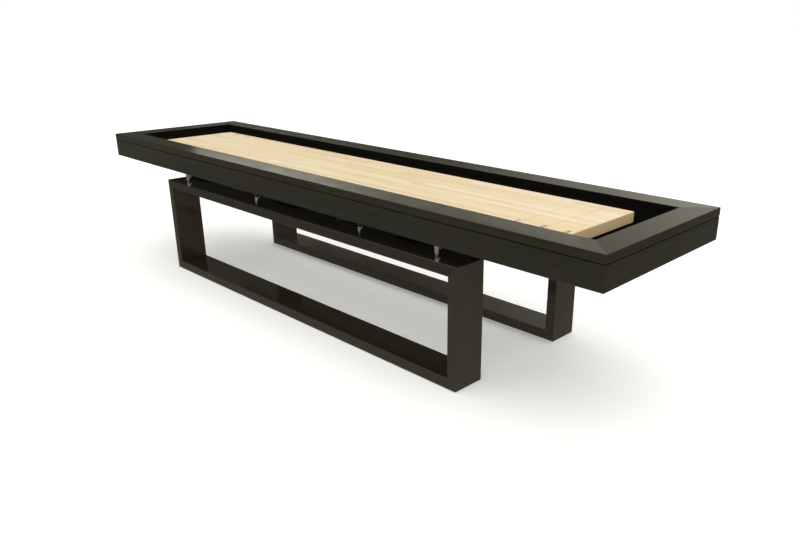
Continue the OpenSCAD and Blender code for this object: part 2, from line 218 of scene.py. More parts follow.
@dataclass(frozen=True)
class MapleBlocks(Finish):
    """Butcher-block hard maple under a thin, worn clear coat. Sizes in mm.

    The eye gets long pale strips glued side by side, each of slightly different cream, with fine
    brown flecks along the grain, thin glue lines, scored lines across the ends, growth rings on the
    end faces, and a satin top.
    """

    strip: float = 36.0
    board: float = 620.0
    foul_line: float = 1367.0
    deuce_line: float = 1497.0
    line_width: float = 1.6
    top_from: float = 762.2
    pale: str = "#dfd6c5"
    warm: str = "#d6c3a5"
    fleck: str = "#b98d56"
    glue: str = "#a67c48"
    score: str = "#4b3117"

    def surface(self, tree: Tree) -> Socket:
        """Strips and boards give each piece of wood its own number, which sets its tone.

        A strip's number is its place across divided by the strip's width, rounded down. A board's
        number is its place along, shifted by a random step for its strip, over the board's length.

        Args:
            tree: the material's tree.

        Returns:
            The coated maple's shader.
        """
        place = add(tree, "ShaderNodeTexCoord", out="Object")
        x, y, z = (add(tree, "ShaderNodeSeparateXYZ", {0: place}, out=i) for i in range(3))
        across = add(tree, "ShaderNodeMath", {0: y, 1: 1000 / self.strip}, operation="MULTIPLY")
        strip = add(tree, "ShaderNodeMath", {0: across}, operation="FLOOR")
        step = add(tree, "ShaderNodeTexWhiteNoise", {"W": strip}, noise_dimensions="1D")
        along = add(tree, "ShaderNodeMath", {0: x, 1: 1000 / self.board}, operation="MULTIPLY")
        along = add(tree, "ShaderNodeMath", {0: step, 1: 7.0, 2: along}, operation="MULTIPLY_ADD")
        board = add(tree, "ShaderNodeMath", {0: along}, operation="FLOOR")
        cell = add(tree, "ShaderNodeCombineXYZ", {0: strip, 1: board})
        tint = add(tree, "ShaderNodeTexWhiteNoise", {"Vector": cell}, noise_dimensions="2D")
        spot = add(tree, "ShaderNodeTexWhiteNoise", {"Vector": cell}, out=1, noise_dimensions="2D")
        moved = add(tree, "ShaderNodeVectorMath", {0: spot, 1: (3.0, 3.0, 3.0), 2: place},
                    operation="MULTIPLY_ADD")
        broad = add(tree, "ShaderNodeMapping", {"Vector": moved, "Scale": Grain.ALONG.stretch(420, 11)})
        fine = add(tree, "ShaderNodeMapping", {"Vector": moved, "Scale": Grain.ALONG.stretch(70, 1.6)})
        cloud = add(tree, "ShaderNodeTexNoise", {"Vector": broad, "Scale": 1.0, "Detail": 4.0,
                    "Roughness": 0.6, "Distortion": 0.8})
        line = add(tree, "ShaderNodeTexNoise", {"Vector": fine, "Scale": 1.0, "Detail": 2.0,
                   "Roughness": 0.5})
        line = add(tree, "ShaderNodeMapRange", {0: line, 1: 0.56, 2: 0.74, 3: 0.0, 4: 0.26})
        share = add(tree, "ShaderNodeMix", {0: 0.38, 2: tint, 3: cloud})
        share = add(tree, "ShaderNodeMapRange", {0: share, 1: 0.2, 2: 0.8})
        wood = add(tree, "ShaderNodeMix", {0: share, 6: linear(self.pale), 7: linear(self.warm)},
                   data_type="RGBA", out=2)
        wood = add(tree, "ShaderNodeMix", {0: line, 6: wood, 7: linear(self.fleck)}, data_type="RGBA", out=2)

        # Glue lines between strips, and the butt joints between boards
        joints = []
        for count, half_width, depth in ((across, 0.7 / self.strip, 0.3), (along, 0.8 / self.board, 0.4)):
            edge = add(tree, "ShaderNodeMath", {0: count, 1: 1.0}, operation="PINGPONG")
            edge = add(tree, "ShaderNodeMath", {0: edge, 1: 0.5}, operation="SUBTRACT")
            edge = add(tree, "ShaderNodeMath", {0: edge}, operation="ABSOLUTE")
            edge = add(tree, "ShaderNodeMapRange", {0: edge, 1: 0.5 - half_width, 2: 0.5, 3: 0.0, 4: depth})
            joints.append(edge)
        joint = add(tree, "ShaderNodeMath", dict(enumerate(joints)), operation="MAXIMUM")
        wood = add(tree, "ShaderNodeMix", {0: joint, 6: wood, 7: linear(self.glue)}, data_type="RGBA", out=2)

        # Growth rings on the end faces, curved about a centre below each strip
        facing = add(tree, "ShaderNodeSeparateXYZ", {0: add(tree, "ShaderNodeNewGeometry", out="Normal")})
        facing = add(tree, "ShaderNodeMath", {0: facing}, operation="ABSOLUTE")
        facing = add(tree, "ShaderNodeMapRange", {0: facing, 1: 0.85, 2: 0.95})
        rings = add(tree, "ShaderNodeCombineXYZ", {1: y, 2: z})
        rings = add(tree, "ShaderNodeVectorMath", {0: spot, 1: (0.0, 0.06, 0.09), 2: rings},
                    operation="MULTIPLY_ADD")
        rings = add(tree, "ShaderNodeTexWave", {"Vector": rings, "Scale": 110.0, "Distortion": 2.0,
                    "Detail": 2.0}, wave_type="RINGS", rings_direction="X")
        ends = add(tree, "ShaderNodeMix", {0: rings, 6: linear("#f0dcb6"), 7: linear("#d8bd90")},
                   data_type="RGBA", out=2)
        wood = add(tree, "ShaderNodeMix", {0: facing, 6: wood, 7: ends}, data_type="RGBA", out=2)

        # Scored lines across both ends, on the top only
        reach = add(tree, "ShaderNodeMath", {0: x}, operation="ABSOLUTE")
        lines = [add(tree, "ShaderNodeMath", {0: reach, 1: line * MM, 2: self.line_width * MM / 2},
                     operation="COMPARE") for line in (self.foul_line, self.deuce_line)]
        scored = add(tree, "ShaderNodeMath", dict(enumerate(lines)), operation="MAXIMUM")
        top = add(tree, "ShaderNodeMath", {0: z, 1: self.top_from * MM}, operation="GREATER_THAN")
        scored = add(tree, "ShaderNodeMath", {0: scored, 1: top}, operation="MULTIPLY")
        scored = add(tree, "ShaderNodeMath", {0: scored, 1: 0.55}, operation="MULTIPLY")
        wood = add(tree, "ShaderNodeMix", {0: scored, 6: wood, 7: linear(self.score)},
                   data_type="RGBA", out=2)

        haze = add(tree, "ShaderNodeTexNoise", {"Vector": place, "Scale": 6.0, "Detail": 4.0,
                   "Roughness": 0.65})
        rough = add(tree, "ShaderNodeMapRange", {0: haze, 1: 0.3, 2: 0.7, 3: 0.38, 4: 0.52})
        relief = add(tree, "ShaderNodeMath", {0: joint, 1: -1.0, 2: line}, operation="MULTIPLY_ADD")
        bump = add(tree, "ShaderNodeBump", {"Height": relief, "Strength": 0.2, "Distance": 0.1 * MM})
        return add(tree, "ShaderNodeBsdfPrincipled", {"Base Color": wood, "Roughness": rough, "Normal": bump,
                   "IOR": 1.5, "Specular IOR Level": 0.2, "Coat Weight": 0.16, "Coat Roughness": 0.12,
                   "Coat IOR": 1.5})


@dataclass(frozen=True)
class PlanedTimber(Finish):
    """Planed poplar, wiped with black stain, for the bearers inside the cabinet; its near-black tones are
    partly real stain and partly painted shade under the cabinet.

    The eye gets straight brown-black streaks, faint cutter ripples across the grain, and no gloss.
    """

    grain: Grain
    # Tones this dark are partly real black stain and partly painted shade under the cabinet.
    pale: str = "#241e17"
    deep: str = "#120f0c"

    def surface(self, tree: Tree) -> Socket:
        """Streaks mix two tones, and a fine wave along the grain is the planer's ripple.

        Args:
            tree: the material's tree.

        Returns:
            The stained wood's shader.
        """
        place = add(tree, "ShaderNodeTexCoord", out="Object")
        broad = add(tree, "ShaderNodeMapping", {"Vector": place, "Scale": self.grain.stretch(500, 12)})
        fine = add(tree, "ShaderNodeMapping", {"Vector": place, "Scale": self.grain.stretch(60, 1.4)})
        figure = add(tree, "ShaderNodeTexNoise", {"Vector": broad, "Scale": 1.0, "Detail": 5.0,
                     "Roughness": 0.6, "Distortion": 1.0})
        fibre = add(tree, "ShaderNodeTexNoise", {"Vector": fine, "Scale": 1.0, "Detail": 2.0})
        tone = add(tree, "ShaderNodeMix", {0: 0.4, 2: figure, 3: fibre})
        tone = add(tree, "ShaderNodeMapRange", {0: tone, 1: 0.32, 2: 0.68})
        wood = add(tree, "ShaderNodeMix", {0: tone, 6: linear(self.pale), 7: linear(self.deep)},
                   data_type="RGBA", out=2)
        ripple = add(tree, "ShaderNodeTexWave", {"Vector": place, "Scale": 60.0, "Distortion": 0.4},
                     bands_direction="XYZ"[self.grain.value])
        relief = add(tree, "ShaderNodeMath", {0: ripple, 1: 0.15, 2: fibre}, operation="MULTIPLY_ADD")
        bump = add(tree, "ShaderNodeBump", {"Height": relief, "Strength": 0.5, "Distance": 0.2 * MM})
        return add(tree, "ShaderNodeBsdfPrincipled", {"Base Color": wood, "Roughness": 0.62, "Normal": bump,
                   "IOR": 1.45, "Specular IOR Level": 0.35})


@dataclass(frozen=True)
class StainedPly(Finish):
    """Plywood sheet, rolled with black stain.

    The eye gets a flat brown-black face with roller mottle and raised long fibres, without shine.
    """

    grain: Grain
    dark: str = "#0d0b09"
    light: str = "#1a1713"

    def surface(self, tree: Tree) -> Socket:
        """Fibre streaks and a wide mottle mix the two tones.

        Args:
            tree: the material's tree.

        Returns:
            The stained board's shader.
        """
        place = add(tree, "ShaderNodeTexCoord", out="Object")
        fine = add(tree, "ShaderNodeMapping", {"Vector": place, "Scale": self.grain.stretch(90, 2.2)})
        fibre = add(tree, "ShaderNodeTexNoise", {"Vector": fine, "Scale": 1.0, "Detail": 4.0,
                    "Roughness": 0.65})
        mottle = add(tree, "ShaderNodeTexNoise", {"Vector": place, "Scale": 14.0, "Detail": 5.0,
                     "Roughness": 0.7})
        tone = add(tree, "ShaderNodeMix", {0: 0.45, 2: fibre, 3: mottle})
        tone = add(tree, "ShaderNodeMapRange", {0: tone, 1: 0.34, 2: 0.68})
        wood = add(tree, "ShaderNodeMix", {0: tone, 6: linear(self.dark), 7: linear(self.light)},
                   data_type="RGBA", out=2)
        rough = add(tree, "ShaderNodeMapRange", {0: mottle, 1: 0.3, 2: 0.7, 3: 0.55, 4: 0.75})
        bump = add(tree, "ShaderNodeBump", {"Height": fibre, "Strength": 0.6, "Distance": 0.3 * MM})
        return add(tree, "ShaderNodeBsdfPrincipled", {"Base Color": wood, "Roughness": rough, "Normal": bump,
                   "IOR": 1.45, "Specular IOR Level": 0.3})


@dataclass(frozen=True)
class LoopCarpet(Finish):
    """Black short-loop gutter carpet.

    The eye gets a soft charcoal that swallows light, a speckle of loops, stray paler fibres, and a
    slight bloom at a low view.
    """

    dark: str = "#070605"
    light: str = "#1d1a17"

    def surface(self, tree: Tree) -> Socket:
        """Rounded cells 2.4 mm apart are the loops, lighter on their crowns than between them, which is
        painted shade between the loops.

        Args:
            tree: the material's tree.

        Returns:
            The pile's shader.
        """
        place = add(tree, "ShaderNodeTexCoord", out="Object")
        loops = add(tree, "ShaderNodeTexVoronoi", {"Vector": place, "Scale": 1000 / 2.4, "Randomness": 0.7},
                    out="Distance")
        stray = add(tree, "ShaderNodeTexNoise", {"Vector": place, "Scale": 900.0, "Detail": 2.0,
                    "Roughness": 0.8})
        patch = add(tree, "ShaderNodeTexNoise", {"Vector": place, "Scale": 12.0, "Detail": 3.0})
        # Painted shade: darker between the loops, lighter on their crowns.
        crown = add(tree, "ShaderNodeMapRange", {0: loops, 1: 0.15, 2: 0.75, 3: 1.0, 4: 0.0})
        tone = add(tree, "ShaderNodeMath", {0: crown, 1: stray}, operation="MULTIPLY")
        tone = add(tree, "ShaderNodeMath", {0: patch, 1: 0.25, 2: tone}, operation="MULTIPLY_ADD")
        wool = add(tree, "ShaderNodeMix", {0: tone, 6: linear(self.dark), 7: linear(self.light)},
                   data_type="RGBA", out=2)
        bump = add(tree, "ShaderNodeBump", {"Height": crown, "Strength": 0.9, "Distance": 0.6 * MM})
        return add(tree, "ShaderNodeBsdfPrincipled", {"Base Color": wool, "Roughness": 0.95, "Normal": bump,
                   "Specular IOR Level": 0.1, "Sheen Weight": 0.12, "Sheen Roughness": 0.5,
                   "Sheen Tint": linear("#4a443c")})


@dataclass(frozen=True)
class Flock(Finish):
    """Black flock on the rails' edges over the gutters, and the same dead black in the rebate under the rails
    as painted shade in the shadow gap.

    The eye gets a dead black that gives nothing back but a faint dusty rim.
    """

    dark: str = "#080706"
    light: str = "#191613"

    def surface(self, tree: Tree) -> Socket:
        """Half-millimetre noise is the standing fibre, in tone and relief.

        Args:
            tree: the material's tree.

        Returns:
            The flock's shader.
        """
        place = add(tree, "ShaderNodeTexCoord", out="Object")
        fibre = add(tree, "ShaderNodeTexNoise", {"Vector": place, "Scale": 1000 / 0.5, "Detail": 2.0,
                    "Roughness": 0.7})
        patch = add(tree, "ShaderNodeTexNoise", {"Vector": place, "Scale": 25.0, "Detail": 3.0})
        tone = add(tree, "ShaderNodeMath", {0: fibre, 1: patch}, operation="MULTIPLY")
        wool = add(tree, "ShaderNodeMix", {0: tone, 6: linear(self.dark), 7: linear(self.light)},
                   data_type="RGBA", out=2)
        bump = add(tree, "ShaderNodeBump", {"Height": fibre, "Strength": 0.8, "Distance": 0.3 * MM})
        return add(tree, "ShaderNodeBsdfPrincipled", {"Base Color": wool, "Roughness": 0.95, "Normal": bump,
                   "Specular IOR Level": 0.08, "Sheen Weight": 0.08, "Sheen Tint": linear("#3c3833")})


@dataclass(frozen=True)
class BareMetal(Finish):
    """A metal part, plated, rolled or turned.

    The eye gets the metal's own tint, a gloss that varies in cloudy patches, and fine lines where a
    tool or a die ran over it. Tarnish darkens the patches.
    """

    tint: str
    tarnish: str
    gloss: tuple[float, float]
    patch: float = 12.0
    lines: float = 0.25
    cut: Grain = Grain.UPRIGHT

    def surface(self, tree: Tree) -> Socket:
        """Noise in patches sets the tint and gloss, and noise drawn out along a tool's path the relief.

        Args:
            tree: the material's tree.

        Returns:
            The metal's shader.
        """
        place = add(tree, "ShaderNodeTexCoord", out="Object")
        cloud = add(tree, "ShaderNodeTexNoise", {"Vector": place, "Scale": 1000 / self.patch, "Detail": 4.0,
                    "Roughness": 0.6})
        cloud = add(tree, "ShaderNodeMapRange", {0: cloud, 1: 0.35, 2: 0.7})
        metal = add(tree, "ShaderNodeMix", {0: cloud, 6: linear(self.tint), 7: linear(self.tarnish)},
                    data_type="RGBA", out=2)
        rough = add(tree, "ShaderNodeMapRange", {0: cloud, 1: 0.0, 2: 1.0, 3: self.gloss[0],
                    4: self.gloss[1]})
        marks = add(tree, "ShaderNodeMapping", {"Vector": place, "Scale": self.cut.stretch(0.35, 30)})
        marks = add(tree, "ShaderNodeTexNoise", {"Vector": marks, "Scale": 1.0, "Detail": 2.0})
        bump = add(tree, "ShaderNodeBump", {"Height": marks, "Strength": self.lines, "Distance": 0.03 * MM})
        return add(tree, "ShaderNodeBsdfPrincipled", {"Base Color": metal, "Roughness": rough, "Normal": bump,
                   "Metallic": 1.0})


@dataclass(frozen=True)
class MouldedNylon(Finish):
    """Black moulded nylon with a spark-eroded texture.

    The eye gets a dull dark grey with a fine pebble and scuffed, slightly polished patches.
    """

    dark: str = "#1b1b1b"
    light: str = "#343433"

    def surface(self, tree: Tree) -> Socket:
        """A 0.6 mm pebble gives the relief, and wide noise the scuffs.

        Args:
            tree: the material's tree.

        Returns:
            The nylon's shader.
        """
        place = add(tree, "ShaderNodeTexCoord", out="Object")
        pebble = add(tree, "ShaderNodeTexNoise", {"Vector": place, "Scale": 1000 / 0.6, "Detail": 2.0})
        scuff = add(tree, "ShaderNodeTexNoise", {"Vector": place, "Scale": 110.0, "Detail": 4.0,
                    "Roughness": 0.7})
        scuff = add(tree, "ShaderNodeMapRange", {0: scuff, 1: 0.4, 2: 0.75})
        nylon = add(tree, "ShaderNodeMix", {0: scuff, 6: linear(self.dark), 7: linear(self.light)},
                    data_type="RGBA", out=2)
        rough = add(tree, "ShaderNodeMapRange", {0: scuff, 1: 0.0, 2: 1.0, 3: 0.6, 4: 0.42})
        bump = add(tree, "ShaderNodeBump", {"Height": pebble, "Strength": 0.5, "Distance": 0.08 * MM})
        return add(tree, "ShaderNodeBsdfPrincipled", {"Base Color": nylon, "Roughness": rough, "Normal": bump,
                   "IOR": 1.53})


@dataclass(frozen=True)
class PrintedInk(Finish):
    """Screen-printed black ink under the clear coat.

    The eye gets a warm black, thin enough for a little of the maple to mottle it.
    """

    ink: str = "#1c120b"
    thin: str = "#4a3420"

    def surface(self, tree: Tree) -> Socket:
        """Fine noise thins the ink in specks.

        Args:
            tree: the material's tree.

        Returns:
            The ink's shader.
        """
        place = add(tree, "ShaderNodeTexCoord", out="Object")
        speck = add(tree, "ShaderNodeTexNoise", {"Vector": place, "Scale": 1600.0, "Detail": 3.0,
                    "Roughness": 0.7})
        speck = add(tree, "ShaderNodeMapRange", {0: speck, 1: 0.5, 2: 0.8})
        colour = add(tree, "ShaderNodeMix", {0: speck, 6: linear(self.ink), 7: linear(self.thin)},
                     data_type="RGBA", out=2)
        return add(tree, "ShaderNodeBsdfPrincipled", {"Base Color": colour, "Roughness": 0.5,
                   "Coat Weight": 0.6, "Coat Roughness": 0.12})


# ---- Meshes ----


def quads(rows: int, columns: int, wrap: bool = False) -> np.ndarray:
    """Joins each point of a grid to the next along its row and to the two below.

    Args:
        rows: how many rows the grid has.
        columns: how many points are in a row.
        wrap: whether the last column joins the first.

    Returns:
        One row of four point numbers for each face.
    """
    point = np.arange(rows * columns).reshape(rows, columns)
    beside = np.roll(point, -1, axis=1)
    if not wrap:
        point, beside = point[:, :-1], beside[:, :-1]
    faces = np.stack([point[:-1], beside[:-1], beside[1:], point[1:]], axis=-1)
    return faces.reshape(-1, 4)


def linked(name: str, data: bpy.types.ID) -> Piece:
    """Puts new data into the scene as an object at the origin.

    Args:
        name: the object's name.
        data: a mesh, curve, light or camera.

    Returns:
        The new object.
    """
    made = bpy.data.objects.new(name, data)
    bpy.context.scene.collection.objects.link(made)
    return made


def piece(name: str, points: np.ndarray, faces: np.ndarray, smooth: bool = True) -> Piece:
    """Makes an object at the origin from points and faces, with doubles merged and faces outward.

    Args:
        name: the object's name.
        points: one row of x, y and z for each point, in metres.
        faces: one row of point numbers for each face.
        smooth: whether faces blend, apart from edges sharper than 35 degrees.

    Returns:
        The new object, linked to the scene.
    """
    mesh = bpy.data.meshes.new(name)
    mesh.from_pydata(points.reshape(-1, 3).tolist(), [], faces.tolist())
    body = bmesh.new()
    body.from_mesh(mesh)
    bmesh.ops.remove_doubles(body, verts=body.verts, dist=1e-6)
    bmesh.ops.recalc_face_normals(body, faces=body.faces)
    body.to_mesh(mesh)
    body.free()
    mesh.shade_smooth() if smooth else mesh.shade_flat()
    if smooth:
        mesh.set_sharp_from_angle(angle=math.radians(35))
    return linked(name, mesh)


def turned(profile: np.ndarray, segments: int) -> Shell:
    """Spins a closed outline about the Z axis: each point is (r cos a, r sin a, z).

    Args:
        profile: the outline's points as rows of r and z, its last point joining the first.
        segments: how many steps go round.

    Returns:
        The points, and the faces between them.
    """
    angle = np.linspace(0, 2 * np.pi, segments, endpoint=False)
    ring = np.vstack([profile, profile[:1]])
    points = np.stack([ring[:, :1] * np.cos(angle), ring[:, :1] * np.sin(angle),
                       np.repeat(ring[:, 1:], segments, axis=1)], axis=-1)
    return points.reshape(-1, 3), quads(len(ring), segments, wrap=True)


def threaded(radius: float, depth: float, pitch: float, length: float, tip: float, segments: int,
             steps: int = 6) -> Shell:
    """A screwed shank standing on z = 0, as a grid of angle by height.

    The radius falls from its full value by depth times a triangle wave of (height / pitch less
    angle / one turn), so that the groove climbs one pitch in a turn. Over the last tip of its length
    the whole shank draws in to a point, or by one groove's depth if tip is under two pitches.

    Args:
        radius: the crest's radius.
        depth: the groove's depth.
        pitch: the climb in one turn.
        length: the shank's length.
        tip: the length that draws in at its end.
        segments: how many steps go round.
        steps: how many rows are in one pitch.

    Returns:
        The points, and the faces between them, closed at both ends.
    """
    rows = max(8, round(length / pitch * steps))
    height = np.linspace(0, length, rows)[:, None]
    angle = np.linspace(0, 2 * np.pi, segments, endpoint=False)[None, :]
    wave = np.abs(2 * ((height / pitch - angle / (2 * np.pi)) % 1) - 1)
    left = np.clip((length - height) / tip, 0, 1)
    end = 0.08 if tip > 2 * pitch else 1 - depth / radius
    start = np.clip(height / pitch, 0, 1)
    reach = (radius - depth * (wave * start + 1 - start)) * (end + (1 - end) * left)
    points = np.stack([reach * np.cos(angle), reach * np.sin(angle), np.repeat(height, segments, 1)], -1)
    points = np.concatenate([points[:1] * (0, 0, 1), points, points[-1:] * (0, 0, 1)])
    return points.reshape(-1, 3), quads(rows + 2, segments, wrap=True)


def cross_head(radius: float, height: float, recess: float, rings: int = 20, segments: int = 48) -> Shell:
    """A pan head under z = 0 with a cross recess in its crown, as a grid of ring by angle.

    Away from the rim the crown's depth below z = 0 is the height times the fourth root of
    (1 - share of radius to the fourth). The recess rises into it by its depth where the smaller of
    |x| and |y| is within an arm's half-width and the larger within its reach, with sloped sides.

    Args:
        radius: the head's radius.
        height: the head's height.
        recess: the recess's depth.
        rings: how many rings cross the crown.
        segments: how many steps go round.

    Returns:
        The points, and the faces between them, closed.
    """
    share = np.linspace(0, 1, rings)[:, None] ** 0.8
    angle = np.linspace(0, 2 * np.pi, segments, endpoint=False)[None, :]
    x, y = share * np.cos(angle), share * np.sin(angle)
    crown = height * np.clip(1 - share**4, 0, 1) ** 0.25
    narrow, wide = np.minimum(np.abs(x), np.abs(y)), np.maximum(np.abs(x), np.abs(y))
    half_width, side_slope, arm_reach, end_slope = 0.16, 0.07, 0.66, 0.16
    arm = np.clip((half_width - narrow) / side_slope, 0, 1) * np.clip((arm_reach - wide) / end_slope, 0, 1)
    z = -(crown - recess * arm)
    points = np.stack([radius * x, radius * y, z], axis=-1)
    points = np.concatenate([points, points[-1:] * (0, 0, 0)])
    return points.reshape(-1, 3), quads(rings + 1, segments, wrap=True)


def merged(parts: Iterable[Shell]) -> Shell:
    """Puts several meshes into one, each one's point numbers raised by the points before it.

    Args:
        parts: the points and faces of each mesh.

    Returns:
        The points and faces of the whole.
    """
    parts = list(parts)
    starts = np.cumsum([0] + [len(points) for points, _ in parts[:-1]])
    return (np.concatenate([points for points, _ in parts]),
            np.concatenate([faces + start for (_, faces), start in zip(parts, starts)]))


def placed(part: Shell, at: Iterable[float], turn: Matrix | None = None) -> Shell:
    """Turns a mesh about the origin, then moves it.

    Args:
        part: the mesh's points and faces.
        at: where its origin goes, in mm.
        turn: the rotation, or None to leave it upright.

    Returns:
        The moved points, in mm, and the same faces.
    """
    points, faces = part
    if turn is not None:
        points = points @ np.array(turn.to_3x3()).T
    return points + np.array(tuple(at)), faces


# ---- Sub-assemblies ----


@dataclass
class Cabinet:
    """The mitred rails and aprons, the gutters' boards and the bearers. Sizes in mm."""

    rail: tuple[str, str] = ("#191811", "#25241c")
    apron: tuple[str, str] = ("#181812", "#24231b")
    gloss: tuple[float, float] = (0.10, 0.15)
    level: float = 0.5
    # Painted shade: the right end's rail and apron reflect less, to darken that end.
    rubbed_level: float = 0.15
    well_half: tuple[float, float] = (1790.0, 332.0)
    shadow_z: float = 755.0
    slack: float = 0.5
    figure_step: float = 3.7
    apron_figure: float = 20.0

    def shade_line(self, apron: Piece) -> None:
        """Blackens an apron's rebate under the rail, all of its faces from shadow_z up, as painted shade in
        the shadow gap.

        Args:
            apron: the apron, with its lacquer on.
        """
        centres, _ = face_table(apron)
        rebate = centres[:, 2] > (self.shadow_z - self.slack) * MM
        # Painted shade: the rebate's faces take the dead black finish.
        dress_faces(apron, Flock("black_flock_and_painted_shade"), rebate)

    def line_edge(self, rail: Piece) -> None:
        """Flocks a rail's edge over the gutter: the upright faces on the well's outline.

        Args:
            rail: the rail, with its lacquer on.
        """
        centres, normals = face_table(rail)
        out = (np.abs(centres[:, :2]) - np.array(self.well_half) * MM).max(axis=1)
        inner = (out < 2 * self.slack * MM) & (np.abs(normals[:, 2]) < 0.5)
        dress_faces(rail, Flock("black_flock_and_painted_shade"), inner)

    def dress(self) -> None:
        """Gives each board a finish whose grain follows its length, and its own figure.

        The right end's lacquer takes a lower specular level, so it gives back less than the others': painted
        shade on that end.
        """
        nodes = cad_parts
        for number, (side, grain) in enumerate([("front", Grain.ALONG), ("right", Grain.ACROSS),
                                                ("back", Grain.ALONG), ("left", Grain.ACROSS)]):
            level = self.rubbed_level if side == "right" else self.level
            rail, apron = nodes[f"top_rail_{side}"], nodes[f"apron_{side}"]
            figure = number * self.figure_step
            dress(rail, StainedTimber(f"rail_lacquer_{side}", grain, *self.rail, self.gloss, level, figure))
            self.line_edge(rail)
            dress(apron, StainedTimber(f"apron_lacquer_{side}", grain, *self.apron, self.gloss, level,
                                       self.apron_figure + figure))
            self.shade_line(apron)
            ply = StainedPly(f"stained_ply_{grain.name.lower()}", grain)
            for board in ("wall", "floor"):
                dress(nodes[f"gutter_{board}_{side}"], ply)
        for name in ("stringer_front", "stringer_back", "glue_blocks", "hoop_tenons"):
            dress(nodes[name], PlanedTimber("planed_timber_along", Grain.ALONG))
        for number in range(1, 5):
            dress(nodes[f"cross_beam_{number}"], PlanedTimber("planed_timber_across", Grain.ACROSS))
        log.info("cabinet dressed")


def dress(obj: Piece, finish: Finish) -> None:
    """Gives an object one finish all over."""
    obj.data.materials.clear()
    obj.data.materials.append(finish.material())


def dress_faces(obj: Piece, finish: Finish, chosen: np.ndarray) -> None:
    """Gives an object a second finish on its chosen faces."""
    obj.data.materials.append(finish.material())
    obj.data.polygons.foreach_set("material_index", chosen.astype(np.int32))


def face_table(obj: Piece) -> tuple[np.ndarray, np.ndarray]:
    """Where an object's faces are and which way they look.

    Args:
        obj: the object.

    Returns:
        One row of x, y and z for each face's centre, in metres, and one for its normal.
    """
    count = len(obj.data.polygons)
    centres, normals = np.zeros(3 * count), np.zeros(3 * count)
    obj.data.polygons.foreach_get("center", centres)
    obj.data.polygons.foreach_get("normal", normals)
    return centres.reshape(-1, 3), normals.reshape(-1, 3)


@dataclass
class Playfield:
    """The maple slab, with a numeral beside each scored line and each end. Sizes in mm."""

    top: float = 763.0
    lines: tuple[float, ...] = (1367.0, 1497.0, 1612.0)
    numeral_y: float = -233.0
    cap_height: float = 32.0
    cap_share: float = 0.7
    stroke: float = 1.1
    film: float = 0.1
    gap: float = 15.0

    def dress(self) -> None:
        """Gives the slab its maple, and darkens its underside with the near-black timber finish as painted
        shade under the cabinet.
        """
        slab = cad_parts["playfield"]
        dress(slab, MapleBlocks("maple_blocks"))
        _, normals = face_table(slab)
        # Painted shade: the downward faces take a near-black finish.
        dress_faces(slab, PlanedTimber("underside_painted_shade", Grain.ALONG), normals[:, 2] < -0.9)
        log.info("playfield dressed")

    def numerals(self) -> None:
        """Sets 1, 2 and 3 by the lines at both ends, to be read from the side that they are at."""
        for end, turn in (("right", 0.0), ("left", math.pi)):
            for number, line in enumerate(self.lines, start=1):
                made = self.numeral(f"numeral_{number}_{end}", str(number))
                foot = Vector((line - self.gap, self.numeral_y, self.top)) * MM
                made.data.transform(Matrix.Rotation(turn, 4, "Z") @ Matrix.Translation(foot))
                dress(made, PrintedInk("printed_ink"))
                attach(made, "root")
        log.info("numerals inked")

    def numeral(self, name: str, figure: str) -> Piece:
        """One figure as a flat mesh, standing on the origin.

        Args:
            name: the object's name.
            figure: the figure to set.

        Returns:
            The new object, as thick as the film of ink.
        """
        curve = bpy.data.curves.new(name, "FONT")
        curve.body = figure
        curve.align_x = "CENTER"
        curve.size = self.cap_height * MM / self.cap_share
        curve.offset = self.stroke * MM
        curve.extrude = self.film / 2 * MM
        source = linked(name, curve)
        mesh = bpy.data.meshes.new_from_object(source.evaluated_get(bpy.context.evaluated_depsgraph_get()))
        bpy.data.objects.remove(source)
        bpy.data.curves.remove(curve)
        mesh.name = name
        return linked(name, mesh)


